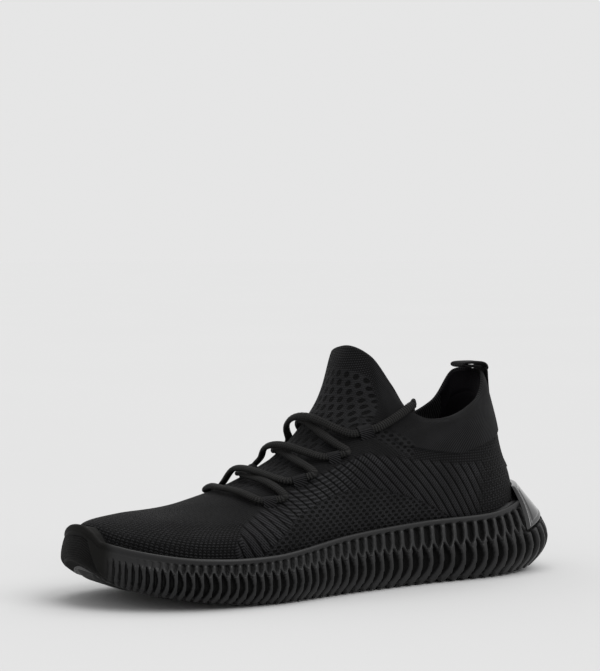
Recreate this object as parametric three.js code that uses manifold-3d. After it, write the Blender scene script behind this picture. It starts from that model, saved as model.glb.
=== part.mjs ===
// Men's knit running shoe, left foot, EU 43, as an assembly of separate solids.
// Millimetres. +X points to the toe, +Y to the wearer's left (the lateral side), +Z up.
// The origin is on the ground under the middle of the bounding box.
import * as THREE from 'three';
import { mergeVertices } from 'three/addons/utils/BufferGeometryUtils.js';
import Module from 'manifold-3d';

const wasm = await Module();
wasm.setup();

// ---- Overall sizes -------------------------------------------------------------------------
const SHOE_LENGTH = 300; // heel to toe over the midsole
const FOREFOOT_WIDTH = 104; // over the midsole at the ball
const SHOE_HEIGHT = 132; // ground to the tip of the tongue

// ---- Walls and clearances ------------------------------------------------------------------
const GAP = 0.6; // air between neighbouring pieces
const KNIT_WALL = 2.4; // knit upper and tongue
const TUCK = 6; // how far the upper reaches down into the midsole's cup
const STROBEL_WALL = 1.8; // stitched board that closes the upper
const SOCKLINER_WALL = 4.5; // removable foam footbed
const SOCKLINER_CLEAR = 2.2; // its edge, from the upper's inner face
const COUNTER_WALL = 1.2; // heel stiffener
const PADDING_WALL = 2.6; // foam behind the heel lining
const LINING_WALL = 1.2; // heel lining
const PUFF_WALL = 0.8; // toe stiffener
const RIM_BEAD = 1.6; // rounded top edge of the midsole
const POD_WALL = 3; // outsole rubber
const POD_PROUD = 1; // how far the rubber stands below the foam
const CLIP_WALL = 2.4; // heel clip
const CLIP_PROUD = 1.2; // how far the heel clip stands off the foam
const WEBBING_WALL = 1.4; // heel strip and pull tab
const WEBBING_WIDTH = 13;
const TAB_REACH = 20; // pull tab, from the collar's back edge forwards
const TAB_HEIGHT = 5; // pull tab, over both layers of webbing
const LACE_DIAMETER = 3.6;
const LACE_AIR = 1.5; // under and over the lace, as the knit curves between its rings
const AGLET_DIAMETER = 4.2;
const AGLET_LENGTH = 16;
const TUNNEL_WALL = 1;
const TUNNEL_HALF_WIDTH = 4.8;

// ---- Shape at the base size of 300 x 104 x 132 ---------------------------------------------
const BASE_LENGTH = 300;
const BASE_WIDTH = 104;
const BASE_HEIGHT = 132;

// Sixteen stations round the sole: 0 at the back of the heel, 1 to 7 along the lateral side,
// 8 at the toe and 9 to 15 back along the medial side. x, y of the widest line of the sidewall.
const STATIONS = 16;
const SOLE_OUTLINE = [
  [0, 0], [12, 28], [50, 40], [103, 40], [155, 45], [207, 53], [252, 48], [286, 26],
  [300, -6], [287, -36], [254, -49], [212, -51], [155, -40], [103, -37], [50, -38], [12, -27],
];
const RIM_HEIGHT = [43, 42, 35.5, 34, 31, 25, 26, 33, 41, 33, 27, 26, 32, 35, 36, 42];
const RIM_INSET = [16, 14, 7, 4.5, 3, 2.5, 2.5, 2.5, 3, 2.5, 2.5, 2.5, 3, 4.5, 7, 14];
const BOTTOM_HEIGHT = [12, 4, 1, 1, 1, 1, 4.5, 11, 20, 12, 5, 1, 1, 1, 1, 4];
const BOTTOM_INSET = [10, 8, 5, 4, 4, 4, 5, 6, 7, 6, 5, 4, 4, 4, 5, 8];
const BELLY = 0.62; // share of the way down the sidewall where it is widest

// The upper as a net of points, one row for each height from the feather line (row 0) to the
// topline (row 6), from the heel (first) along the lateral side to the toe (last).
const UPPER_NET = [
  [[20, 0, 36], [30, 20, 35], [60, 31, 32], [106, 32, 32], [156, 37, 28], [206, 46, 23],
    [249, 42, 23], [280, 23, 31], [292, -6, 37]],
  [[25, 0, 56], [34, 21, 54], [62, 33, 50], [106, 35, 48], [156, 40, 44], [205, 47, 35],
    [247, 40, 34], [276, 22, 38], [287, -6, 43]],
  [[34.5, 0, 74], [40.5, 22, 71], [63, 34, 65], [105, 36, 62], [151, 39, 56], [198, 42, 44],
    [237, 33, 41], [260, 18, 44], [268, -6, 46]],
  [[37.5, 0, 90], [43.5, 21, 86], [62, 32, 79], [101, 36, 76], [140, 37, 71], [181, 34, 57],
    [211, 25, 50], [229, 11, 49], [235, -2.5, 49]],
  [[39, 0, 103], [45, 17, 100], [60, 30, 89], [93, 34, 84], [122, 35, 81], [149, 32, 75],
    [169, 22, 69], [181, 9, 65], [186, -1.5, 63]],
  [[39.5, 0, 114], [45.5, 13, 110], [58, 24, 99], [81, 32, 91], [100, 32, 90], [114, 30, 94],
    [128, 25, 97], [142, 13, 96], [149, -3, 95]],
  [[40, 0, 116], [46, 12, 112], [59, 23, 101], [81, 31, 93], [99, 31, 92], [110, 28, 98],
    [116, 22, 111], [123, 12, 126], [130, -2, 132]],
];
// Where the medial side of the collar and the tongue differs from the mirrored lateral side, as
// [row, station, x, y, z]: the collar dips lower beside the tongue and rises faster at the heel.
const MEDIAL_TOP = [
  [6, 9, 127, -23, 127], [6, 10, 118, -27, 113], [5, 9, 143, -17.5, 96],
  [6, 13, 81, -30, 86], [6, 14, 60, -20.5, 97], [6, 15, 48, -15.5, 115],
  [5, 13, 81, -30.5, 83.5], [5, 14, 59.5, -21.5, 94], [5, 15, 47, -16, 111.5],
  [4, 13, 93, -33, 79], [4, 14, 60, -27, 86], [4, 9, 181, -12, 65], [3, 9, 229, -15, 49],
];
const FEATHER = 0;
const TOPLINE = UPPER_NET.length - 1;
const TONGUE_FOLD_ROW = 5.1; // where the tongue leaves the upper at the centre line
const NOTCH_IN = 2.35; // the collar is cut away between these two distances from the toe station
const NOTCH_OUT = 2.75;
const TOE_STATION = 8;

// Four pairs of lace tunnels, lowest first: front and back mouth on the lateral side as
// [station, row]. The medial ones mirror them.
const TUNNELS = [
  [[5.8, 3], [5.2, 2.8]],
  [[5.8, 3.5], [5.18, 3.46]],
  [[5.76, 4.04], [5.08, 3.98]],
  [[5.82, 4.48], [5.2, 4.58]],
];
const TUNNEL_FROM = 0.36; // the knit band covers this middle share of each tunnel's run
const TUNNEL_TO = 0.62;
const TUNNEL_RUN_OUT = 0.05; // the lace runs straight this share past each mouth
const RIDGE_X = [211, 194, 172, 155]; // where the strands pass the instep's ridge
const LACE_TOP = [5.06, 5.38]; // where the lace reaches the collar's edge
const UNDER_LIFT = 0.4; // lower strand, where two cross
const CROSSING_LIFT = 4.8; // upper strand over the lower one

// The free lace ends, from the collar's edge down inside the shoe: lateral side, base size.
const LACE_END = [
  [107, 30.5, 99.5], [105.5, 27.5, 101.2], [104, 24, 98.5], [103, 23.2, 90], [102.5, 23.6, 80],
  [102.5, 24, 70], [103, 24, 60], [105, 23.8, 50], [109, 23.4, 42], [115, 22.8, 37.8],
  [123, 22.2, 37], [131, 21.8, 36.6],
];

// ---- Resolution ----------------------------------------------------------------------------
const RING = 48; // points round a closed ring
const ROWS = 12; // steps from the feather line to the topline
const STEP = RING / STATIONS; // ring points to a station
const CAP_STEPS = 3; // steps across the sole
const TONGUE_STEPS = 7; // ring steps from the toe station to the tongue's side edge

// ---- Curves and surfaces -------------------------------------------------------------------
const stretch = new THREE.Vector3(
  SHOE_LENGTH / BASE_LENGTH, FOREFOOT_WIDTH / BASE_WIDTH, SHOE_HEIGHT / BASE_HEIGHT);
const mix = THREE.MathUtils.lerp;
const smooth = THREE.MathUtils.smoothstep;
const at = (x, y, z) => new THREE.Vector3(x, y, z);

function catmullRom(a, b, c, d, t) {
  const bend = 2 * a - 5 * b + 4 * c - d;
  return 0.5 * (2 * b + (c - a) * t + bend * t * t + (3 * b - a - 3 * c + d) * t * t * t);
}

// A closed list of numbers, read smoothly at any station.
function round(list, station) {
  const n = list.length;
  const i = Math.floor(station);
  const get = (k) => list[(((i + k) % n) + n) % n];
  return catmullRom(get(-1), get(0), get(1), get(2), station - i);
}

// The last's centre line, which leans to the medial side at the toe and up the tongue.
function centreLine(x, z) {
  const waist = 2 * Math.exp(-(((x - 160) / 45) ** 2));
  return waist - 6 * smooth(x, 235, 295) - 3 * smooth(z, 95, 132);
}

// The full net: the medial half mirrors the lateral one about the centre line.
const net = UPPER_NET.map((row) => {
  const medial = row.slice(1, -1).map(([x, y, z]) => [x, 2 * centreLine(x, z) - y, z]);
  return [...row, ...medial.reverse()];
});
for (const [row, station, ...p] of MEDIAL_TOP) net[row][station] = p;

// A point of the upper's outer face. Below the feather line the wall drops straight down.
function upperPoint(station, row) {
  const r = THREE.MathUtils.clamp(row, 0, TOPLINE);
  const i = Math.min(Math.floor(r), TOPLINE - 1);
  const out = [0, 1, 2].map((axis) => {
    const read = (k) => round(net[k].map((p) => p[axis]), station);
    const b = read(i);
    const c = read(i + 1);
    const a = i > 0 ? read(i - 1) : 2 * b - c;
    const d = i + 2 <= TOPLINE ? read(i + 2) : 2 * c - b;
    return catmullRom(a, b, c, d, r - i);
  });
  const p = at(...out).multiply(stretch);
  if (row < 0) p.z += row * TUCK;
  return p;
}

function upperNormal(station, row) {
  const e = 0.01;
  const r = THREE.MathUtils.clamp(row, e, TOPLINE - e);
  const along = upperPoint(station + e, r).sub(upperPoint(station - e, r));
  const up = upperPoint(station, r + e).sub(upperPoint(station, r - e));
  return up.cross(along).normalize();
}

// The row of a station's line, between two others, up to which test holds.
function rowWhere(station, low, high, test) {
  let [a, b] = [low, high];
  for (let n = 0; n < 24; n++) {
    const middle = (a + b) / 2;
    if (test(upperPoint(station, middle))) a = middle;
    else b = middle;
  }
  return a;
}

const upperOffset = (station, row, out) =>
  upperPoint(station, row).addScaledVector(upperNormal(station, row), out);

// The row where the knit ends: the topline, or the tongue's fold between the two notches.
function upperEnd(station) {
  const away = Math.abs(station - TOE_STATION);
  return mix(TONGUE_FOLD_ROW, TOPLINE, smooth(away, NOTCH_IN, NOTCH_OUT));
}

const ringStation = (k) => k / STEP;
const rowOf = (station, j) => (upperEnd(station) * j) / ROWS;

// A point of the midsole's sidewall: down is 0 at the rim and 1 at the bottom edge.
function solePlan(station, inset) {
  const e = 0.01;
  const x = (s) => round(SOLE_OUTLINE.map((p) => p[0]), s) * stretch.x;
  const y = (s) => round(SOLE_OUTLINE.map((p) => p[1]), s) * stretch.y;
  const along = new THREE.Vector2(x(station + e) - x(station - e), y(station + e) - y(station - e));
  along.normalize();
  return new THREE.Vector2(x(station) + along.y * inset, y(station) - along.x * inset);
}

function solePoint(station, down) {
  const rim = round(RIM_INSET, station);
  const bottom = round(BOTTOM_INSET, station);
  const above = 1 - Math.min(down / BELLY, 1);
  const below = Math.max((down - BELLY) / (1 - BELLY), 0);
  const plan = solePlan(station, rim * above ** 1.6 + bottom * below ** 2);
  const low = Math.max(round(BOTTOM_HEIGHT, station), POD_PROUD);
  const high = round(RIM_HEIGHT, station) * stretch.z;
  return at(plan.x, plan.y, mix(high, low, down));
}

// ---- Closed meshes -------------------------------------------------------------------------
function geometryOf(points, faces) {
  const geometry = new THREE.BufferGeometry();
  geometry.setAttribute('position',
    new THREE.Float32BufferAttribute(points.flatMap((p) => [p.x, p.y, p.z]), 3));
  let volume = 0;
  for (const [a, b, c] of faces) {
    volume += points[a].dot(points[b].clone().cross(points[c]));
  }
  const index = volume < 0 ? faces.flatMap(([a, b, c]) => [a, c, b]) : faces.flat();
  geometry.setIndex(index);
  return geometry;
}

function addQuad(faces, a, b, c, d) {
  faces.push([a, b, c], [a, c, d]);
}

// Rings joined one to the next. The two ends are capped, or joined to each other.
function loft(rings, capped = true) {
  const n = rings[0].length;
  const points = rings.flat();
  const faces = [];
  const last = capped ? rings.length - 1 : rings.length;
  for (let r = 0; r < last; r++) {
    const next = (r + 1) % rings.length;
    for (let k = 0; k < n; k++) {
      const k1 = (k + 1) % n;
      addQuad(faces, r * n + k, r * n + k1, next * n + k1, next * n + k);
    }
  }
  if (capped) {
    addCap(points, faces, 0, n, true);
    addCap(points, faces, (rings.length - 1) * n, n, false);
  }
  return geometryOf(points, faces);
}

// Closes a ring with rungs from each lateral point to its medial partner.
function addCap(points, faces, first, n, flip) {
  const half = n / 2;
  const rungs = [];
  for (let k = 1; k < half; k++) {
    const a = points[first + k];
    const b = points[first + n - k];
    const rung = [first + k];
    for (let m = 1; m < CAP_STEPS; m++) {
      rung.push(points.push(a.clone().lerp(b, m / CAP_STEPS)) - 1);
    }
    rung.push(first + n - k);
    rungs.push(rung);
  }
  const add = (a, b, c) => faces.push(flip ? [a, c, b] : [a, b, c]);
  for (let m = 0; m < CAP_STEPS; m++) {
    add(first, rungs[0][m], rungs[0][m + 1]);
    add(first + half, rungs[half - 2][m + 1], rungs[half - 2][m]);
    for (let k = 0; k < half - 2; k++) {
      add(rungs[k][m], rungs[k + 1][m], rungs[k + 1][m + 1]);
      add(rungs[k][m], rungs[k + 1][m + 1], rungs[k][m + 1]);
    }
  }
}

// A plate between two faces, each given as a function of i in 0..nu and j in 0..nv.
function plate(front, back, nu, nv) {
  const points = [];
  const faces = [];
  const index = (side, i, j) => side * (nu + 1) * (nv + 1) + i * (nv + 1) + j;
  for (const face of [front, back]) {
    for (let i = 0; i <= nu; i++) {
      for (let j = 0; j <= nv; j++) points.push(face(i, j));
    }
  }
  for (let i = 0; i < nu; i++) {
    for (let j = 0; j < nv; j++) {
      addQuad(faces, index(0, i, j), index(0, i + 1, j), index(0, i + 1, j + 1), index(0, i, j + 1));
      addQuad(faces, index(1, i, j), index(1, i, j + 1), index(1, i + 1, j + 1), index(1, i + 1, j));
    }
    addQuad(faces, index(0, i, 0), index(1, i, 0), index(1, i + 1, 0), index(0, i + 1, 0));
    addQuad(faces, index(0, i, nv), index(0, i + 1, nv), index(1, i + 1, nv), index(1, i, nv));
  }
  for (let j = 0; j < nv; j++) {
    addQuad(faces, index(0, 0, j), index(0, 0, j + 1), index(1, 0, j + 1), index(1, 0, j));
    addQuad(faces, index(0, nu, j), index(1, nu, j), index(1, nu, j + 1), index(0, nu, j + 1));
  }
  return geometryOf(points, faces);
}

// ---- Booleans ------------------------------------------------------------------------------
function toSolid(geometry) {
  const bare = geometry.clone();
  bare.deleteAttribute('normal');
  bare.deleteAttribute('uv');
  const merged = mergeVertices(bare, 1e-4);
  return new wasm.Manifold(new wasm.Mesh({
    numProp: 3,
    vertProperties: new Float32Array(merged.attributes.position.array),
    triVerts: new Uint32Array(merged.index.array),
  }));
}

function fromSolid(solid) {
  const mesh = solid.getMesh();
  const geometry = new THREE.BufferGeometry();
  geometry.setAttribute('position', new THREE.Float32BufferAttribute(mesh.vertProperties, 3));
  geometry.setIndex(Array.from(mesh.triVerts));
  return geometry;
}

// ---- Sole ----------------------------------------------------------------------------------
const stations = Array.from({ length: RING }, (_, k) => ringStation(k));
const lowered = (p, drop) => at(p.x, p.y, p.z - drop);

// The line of the upper's foot, moved sideways by out and down by drop.
function footLine(out, drop) {
  return stations.map((s) => {
    const n = upperNormal(s, 0.01);
    n.z = 0;
    return lowered(upperPoint(s, FEATHER), drop).addScaledVector(n.normalize(), out);
  });
}

// A patch of the sole's underside: station 0..8 along, side 1 (lateral) to -1 (medial) across.
function underPoint(station, side, lift) {
  const a = solePoint(station, 1);
  const b = solePoint(STATIONS - station, 1);
  return a.lerp(b, (1 - side) / 2).add(at(0, 0, lift));
}

// A tread pad of rubber, set into the foam. grow widens it into the pocket that takes it.
function treadPad([s0, s1, side0, side1], grow) {
  const along = 10;
  const across = 4;
  const e = 0.02;
  const place = (lift) => (i, j) => {
    const s = mix(s0, s1, i / along);
    const pace = underPoint(s + e, 0, 0).distanceTo(underPoint(s - e, 0, 0)) / (2 * e);
    const reach = underPoint(s, 1, 0).distanceTo(underPoint(s, -1, 0)) / 2;
    const ds = mix(-grow, grow, i / along) / pace;
    const dSide = mix(-grow, grow, j / across) / reach;
    return underPoint(s + ds, mix(side0, side1, j / across) + dSide, lift);
  };
  const low = grow > 0 ? -POD_PROUD - 1 : -POD_PROUD;
  return plate(place(low), place(POD_WALL - POD_PROUD + grow), along, across);
}

const TREAD = {
  outsole_toe: [6.7, 7.5, -0.62, 0.62],
  outsole_ball_lateral: [4.9, 6.45, 0.07, 0.84],
  outsole_ball_medial: [4.9, 6.45, -0.84, -0.07],
  outsole_heel_lateral: [1.15, 2.75, 0.1, 0.8],
  outsole_heel_medial: [1.15, 2.75, -0.8, -0.1],
};

// The heel clip is a plate that leans from the knit above the rim down to the sidewall. Its lower
// edge is the wider one, and lies lower at its two corners than on the heel's centre line.
const CLIP_TOP_HALF = 0.95; // stations either side of the heel
const CLIP_LOW_HALF = 1.5;
const CLIP_ROW = 0.72; // row of the knit where its top edge lies
const CLIP_DOWN = 0.3; // share of the way down the sidewall of its lower edge at the centre
const CLIP_CORNER = 0.38; // and at its corners

function heelClip(grow) {
  const across = 12;
  const rise = 8;
  const place = (out) => (i, j) => {
    const side = mix(-1, 1, i / across);
    const share = mix(-grow / 20, 1 + grow / 20, j / rise);
    const half = mix(CLIP_LOW_HALF, CLIP_TOP_HALF, share) + grow / 18;
    const station = side * half;
    const e = 0.02;
    const down = mix(CLIP_DOWN, CLIP_CORNER, side ** 2);
    const foot = solePoint(station, down);
    const along = solePoint(station + e, down).sub(solePoint(station - e, down));
    const fall = solePoint(station, down + e).sub(foot);
    foot.addScaledVector(along.cross(fall).normalize(), out);
    const knit = upperOffset(station, CLIP_ROW, out + CLIP_WALL - CLIP_PROUD + GAP);
    return foot.lerp(knit, share);
  };
  const front = place(CLIP_PROUD + (grow > 0 ? 3 : 0));
  const back = place(CLIP_PROUD - CLIP_WALL - grow);
  return plate(front, back, across, rise);
}

function midsole() {
  const side = [1, 0.93, 0.8, BELLY, 0.35, 0.12].map((d) => stations.map((s) => solePoint(s, d)));
  const rimOuter = stations.map((s) => solePoint(s, 0));
  const cupTop = stations.map((s, k) => {
    const row = rowWhere(s, FEATHER, 2, (p) => p.z < rimOuter[k].z);
    return upperOffset(s, row, GAP).setZ(rimOuter[k].z);
  });
  const rimCrest = rimOuter.map((p, k) => p.clone().lerp(cupTop[k], 0.45).add(at(0, 0, RIM_BEAD)));
  const cupFloor = footLine(GAP, TUCK + GAP);
  let foam = toSolid(loft([...side, rimOuter, rimCrest, cupTop, footLine(GAP, 0), cupFloor]));
  for (const pad of Object.values(TREAD)) foam = foam.subtract(toSolid(treadPad(pad, GAP)));
  return fromSolid(foam.subtract(toSolid(heelClip(GAP))));
}

// Sheets that lie in the foot of the upper: thickness wall, lying lift above the cup's floor.
function footSheet(wall, lift, clear) {
  const inset = -KNIT_WALL - GAP - clear;
  const level = (drop) => footLine(inset, drop);
  return loft([level(TUCK - lift), level(TUCK - lift - wall)]);
}

// ---- Upper ---------------------------------------------------------------------------------
function knitShell() {
  const ring = (row, out) => stations.map((s) => upperOffset(s, row(s), out));
  const outer = [];
  const inner = [];
  for (let j = 0; j <= ROWS; j++) {
    outer.push(ring((s) => rowOf(s, j), 0));
    inner.unshift(ring((s) => rowOf(s, j), -KNIT_WALL));
  }
  const foot = (out) => footLine(out, TUCK);
  return loft([foot(0), ...outer, ...inner, foot(-KNIT_WALL)], false);
}

// Where a tunnel's centre line runs on the upper, a in 0..1 from its front to its back mouth.
function tunnelPlace(tunnel, a, mirrored) {
  const [[s0, r0], [s1, r1]] = tunnel;
  const s = mix(s0, s1, a);
  return [mirrored ? STATIONS - s : s, mix(r0, r1, a)];
}

// A raised band of knit that arches over the lace. Its two feet run into the wall.
function tunnelArch(tunnel, mirrored) {
  const along = 3;
  const across = 6;
  const peak = LACE_DIAMETER + 2 * LACE_AIR;
  const foot = 0.75 * KNIT_WALL;
  const place = (wall) => (i, j) => {
    const a = mix(TUNNEL_FROM, TUNNEL_TO, i / along);
    const where = tunnelPlace(tunnel, a, mirrored);
    const normal = upperNormal(...where);
    const run = upperPoint(...tunnelPlace(tunnel, 1, mirrored))
      .sub(upperPoint(...tunnelPlace(tunnel, 0, mirrored)));
    const side = normal.clone().cross(run).normalize();
    const b = mix(-1, 1, j / across);
    const height = mix(peak, -foot, b ** 2) + wall;
    return upperPoint(...where)
      .addScaledVector(side, b * (TUNNEL_HALF_WIDTH + wall))
      .addScaledVector(normal, height);
  };
  return plate(place(TUNNEL_WALL), place(0), along, across);
}

function knitUpper() {
  let knit = toSolid(knitShell());
  for (const tunnel of TUNNELS) {
    for (const mirrored of [false, true]) knit = knit.add(toSolid(tunnelArch(tunnel, mirrored)));
  }
  return fromSolid(knit);
}

// The free flap of the tongue, above the fold between the notches.
function tongueFlap() {
  const rows = 6;
  const place = (out) => (i, j) => {
    const s = TOE_STATION + (i - TONGUE_STEPS) / STEP;
    const e = 0.05;
    const rise = upperPoint(s, TONGUE_FOLD_ROW + e).distanceTo(upperPoint(s, TONGUE_FOLD_ROW));
    const start = TONGUE_FOLD_ROW + (GAP * e) / rise;
    return upperOffset(s, mix(start, TOPLINE, j / rows), out);
  };
  return plate(place(0), place(-KNIT_WALL), 2 * TONGUE_STEPS, rows);
}

// A patch that follows the inside or outside of the knit, on the knit's own grid lines.
function knitPatch(mid, steps, j0, j1, outer, inner) {
  const place = (out) => (i, j) => {
    const s = mid + (i - steps) / STEP;
    return upperOffset(s, rowOf(s, j0 + j), out(j0 + j));
  };
  return plate(place(outer), place(inner), 2 * steps, j1 - j0);
}

const underKnit = -KNIT_WALL - GAP;
const PADDING_FROM = 7; // grid row where the stiffener ends and the padding begins
const packing = (j) => mix(COUNTER_WALL, PADDING_WALL, smooth(j, PADDING_FROM - 1, PADDING_FROM + 2));
const fixed = (value) => () => value;

const heelCounter = () =>
  knitPatch(0, 8, 1, PADDING_FROM - 1, fixed(underKnit), fixed(underKnit - COUNTER_WALL));
const heelPadding = () =>
  knitPatch(0, 6, PADDING_FROM, 10, fixed(underKnit), (j) => underKnit - packing(j));
const heelLining = () => {
  const outer = (j) => underKnit - packing(j) - GAP;
  return knitPatch(0, 5, 2, 10, outer, (j) => outer(j) - LINING_WALL);
};
const toePuff = () =>
  knitPatch(TOE_STATION, 5, 1, 4, fixed(underKnit), fixed(underKnit - PUFF_WALL));

// ---- Webbing on the heel -------------------------------------------------------------------
const heelTop = upperPoint(0, TOPLINE);
const STRIP_ROW = 1.05; // its lower end, just above the heel clip

function heelStrip() {
  const rows = 12;
  const across = 4;
  const place = (out) => (i, j) => {
    const row = mix(STRIP_ROW, TOPLINE, j / rows);
    const p = upperOffset(0, row, out);
    const side = mix(-0.5, 0.5, i / across) * WEBBING_WIDTH;
    const wrap = upperOffset(side / 25, row, out);
    return at(wrap.x, side, p.z);
  };
  return plate(place(GAP + WEBBING_WALL), place(GAP), across, rows);
}

// A loop of webbing that leans forward over the collar, with a finger gap between its layers.
const tabHinge = at(heelTop.x - 3, 0, heelTop.z + WEBBING_WALL / 2 + 3 * GAP);

function pullTab() {
  const back = tabHinge.x - 1.5;
  const low = tabHinge.z - WEBBING_WALL / 2;
  const outline = (inset) => {
    const shape = inset ? new THREE.Path() : new THREE.Shape();
    const x0 = back + inset;
    const x1 = back + TAB_REACH - inset;
    const z0 = low + inset;
    const z1 = low + TAB_HEIGHT - inset;
    const r = (z1 - z0) / 2;
    shape.moveTo(x0 + r, z0);
    shape.lineTo(x1 - r, z0);
    shape.absarc(x1 - r, z0 + r, r, -Math.PI / 2, Math.PI / 2);
    shape.lineTo(x0 + r, z1);
    shape.absarc(x0 + r, z0 + r, r, Math.PI / 2, (3 * Math.PI) / 2);
    return shape;
  };
  const shape = outline(0);
  shape.holes.push(outline(WEBBING_WALL));
  const options = { depth: WEBBING_WIDTH, bevelEnabled: false, curveSegments: 6, steps: 1 };
  const geometry = new THREE.ExtrudeGeometry(shape, options);
  geometry.rotateX(Math.PI / 2);
  geometry.translate(0, WEBBING_WIDTH / 2, 0);
  return geometry;
}

// ---- Lace ----------------------------------------------------------------------------------
const laceOff = LACE_DIAMETER / 2 + LACE_AIR; // lace centre above the knit

// A strand over the instep from one place to another. It passes the ridge at x = ridge and is
// lifted by lift there.
function strand(from, to, ridge, lift, steps) {
  const x0 = upperPoint(...from).x;
  const x1 = upperPoint(...to).x;
  return Array.from({ length: steps }, (_, k) => {
    const t = (k + 1) / (steps + 1);
    const bend = 4 * t * (1 - t);
    const station = mix(from[0], to[0], t);
    const x = mix(x0, x1, t) + bend * (ridge * stretch.x - (x0 + x1) / 2);
    const row = rowWhere(station, 1, TOPLINE, (p) => p.x > x);
    return upperOffset(station, row, laceOff + lift * bend ** 2);
  });
}

// The laced part: across the bottom, then crossing from side to side up to the collar's edge.
function laceRoute() {
  const half = (mirrored) => {
    const route = [];
    let side = mirrored;
    TUNNELS.forEach((tunnel, level) => {
      for (const a of [-TUNNEL_RUN_OUT, 0.25, 0.5, 0.75, 1 + TUNNEL_RUN_OUT]) {
        route.push(upperOffset(...tunnelPlace(tunnel, a, side), laceOff));
      }
      const next = TUNNELS[level + 1];
      if (!next) return;
      const from = tunnelPlace(tunnel, 1 + TUNNEL_RUN_OUT, side);
      const to = tunnelPlace(next, -TUNNEL_RUN_OUT, !side);
      route.push(...strand(from, to, RIDGE_X[level + 1], side ? CROSSING_LIFT : UNDER_LIFT, 7));
      side = !side;
    });
    const top = side ? [STATIONS - LACE_TOP[0], LACE_TOP[1]] : LACE_TOP;
    const last = tunnelPlace(TUNNELS.at(-1), 1 + TUNNEL_RUN_OUT, side);
    for (const t of [0.3, 0.65]) {
      route.push(upperOffset(mix(last[0], top[0], t), mix(last[1], top[1], t), laceOff));
    }
    route.push(upperOffset(...top, laceOff));
    return route;
  };
  const start = [STATIONS - TUNNELS[0][0][0], TUNNELS[0][0][1]];
  const bar = strand(start, TUNNELS[0][0], RIDGE_X[0], 0, 6);
  return [...half(true).reverse(), ...bar, ...half(false)];
}

const mirrorPoint = ([x, y, z]) => [x, 2 * centreLine(x, z) - y, z];

// A round cord with one ring at each of its points, so that it turns sharply where they do.
function cordAlong(points, diameter) {
  const section = new THREE.Shape();
  section.absarc(0, 0, diameter / 2, 0, 2 * Math.PI);
  const path = new THREE.CatmullRomCurve3(points, false, 'centripetal');
  path.getPointAt = path.getPoint;
  path.getTangentAt = path.getTangent;
  const steps = points.length - 1;
  return new THREE.ExtrudeGeometry(section, {
    steps, bevelEnabled: false, extrudePath: path, curveSegments: 4,
  });
}

function laceEnd(mirrored) {
  const points = LACE_END.map((p) => at(...(mirrored ? mirrorPoint(p) : p)).multiply(stretch));
  return cordAlong(points, LACE_DIAMETER);
}

// The plastic tip that ends the lace, lying in line with it on the footbed.
function aglet(mirrored) {
  const points = LACE_END.map((p) => at(...(mirrored ? mirrorPoint(p) : p)).multiply(stretch));
  const tip = points.at(-1);
  const run = tip.clone().sub(points.at(-2)).setZ(0).normalize();
  const profile = [
    new THREE.Vector2(0, 0),
    new THREE.Vector2(AGLET_DIAMETER / 2, 0),
    new THREE.Vector2(AGLET_DIAMETER / 2, AGLET_LENGTH - 1),
    new THREE.Vector2(AGLET_DIAMETER / 2 - 0.8, AGLET_LENGTH),
    new THREE.Vector2(0, AGLET_LENGTH),
  ];
  const geometry = new THREE.LatheGeometry(profile, 10);
  geometry.applyQuaternion(new THREE.Quaternion().setFromUnitVectors(at(0, 1, 0), run));
  const seat = tip.clone().addScaledVector(run, GAP);
  geometry.translate(seat.x, seat.y, seat.z);
  return geometry;
}

// ---- Materials and assembly ----------------------------------------------------------------
const finish = (color, roughness) => new THREE.MeshStandardMaterial({ color, roughness, metalness: 0 });
const KNIT_FINISH = finish(0x202023, 0.9);
const FOAM_FINISH = finish(0x2a2a2b, 0.55);
const RUBBER_FINISH = finish(0x1c1c1c, 0.7);
const GLOSS_FINISH = finish(0x26262a, 0.25);
const WEBBING_FINISH = finish(0x1d1d20, 0.85);
const LINING_FINISH = finish(0x1a171b, 0.8);
const BOARD_FINISH = finish(0x3a3a3a, 0.9);
const LACE_FINISH = finish(0x1e1e20, 0.85);

const shoe = new THREE.Group();

function addPiece(name, geometry, material) {
  const mesh = new THREE.Mesh(geometry, material);
  mesh.name = name;
  shoe.add(mesh);
}

addPiece('midsole', midsole(), FOAM_FINISH);
addPiece('heel_clip', heelClip(0), GLOSS_FINISH);
for (const [name, pad] of Object.entries(TREAD)) addPiece(name, treadPad(pad, 0), RUBBER_FINISH);
addPiece('strobel_board', footSheet(STROBEL_WALL, 0, 0), BOARD_FINISH);
addPiece('sockliner', footSheet(SOCKLINER_WALL, STROBEL_WALL + GAP, SOCKLINER_CLEAR), LINING_FINISH);
addPiece('knit_upper', knitUpper(), KNIT_FINISH);
addPiece('tongue', tongueFlap(), KNIT_FINISH);
addPiece('toe_puff', toePuff(), BOARD_FINISH);
addPiece('heel_counter', heelCounter(), BOARD_FINISH);
addPiece('heel_padding', heelPadding(), BOARD_FINISH);
addPiece('heel_lining', heelLining(), LINING_FINISH);
addPiece('heel_strip', heelStrip(), WEBBING_FINISH);
addPiece('pull_tab', pullTab(), WEBBING_FINISH);
addPiece('lace', cordAlong(laceRoute(), LACE_DIAMETER), LACE_FINISH);
addPiece('lace_end_lateral', laceEnd(false), LACE_FINISH);
addPiece('lace_end_medial', laceEnd(true), LACE_FINISH);
addPiece('aglet_lateral', aglet(false), GLOSS_FINISH);
addPiece('aglet_medial', aglet(true), GLOSS_FINISH);

// Set down with the middle of its bounding box over the origin.
const box = new THREE.Box3().setFromObject(shoe);
const middle = box.getCenter(new THREE.Vector3());
shoe.position.set(-middle.x, -middle.y, -box.min.z);

const model = new THREE.Group();
model.add(shoe);
export default model;
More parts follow.
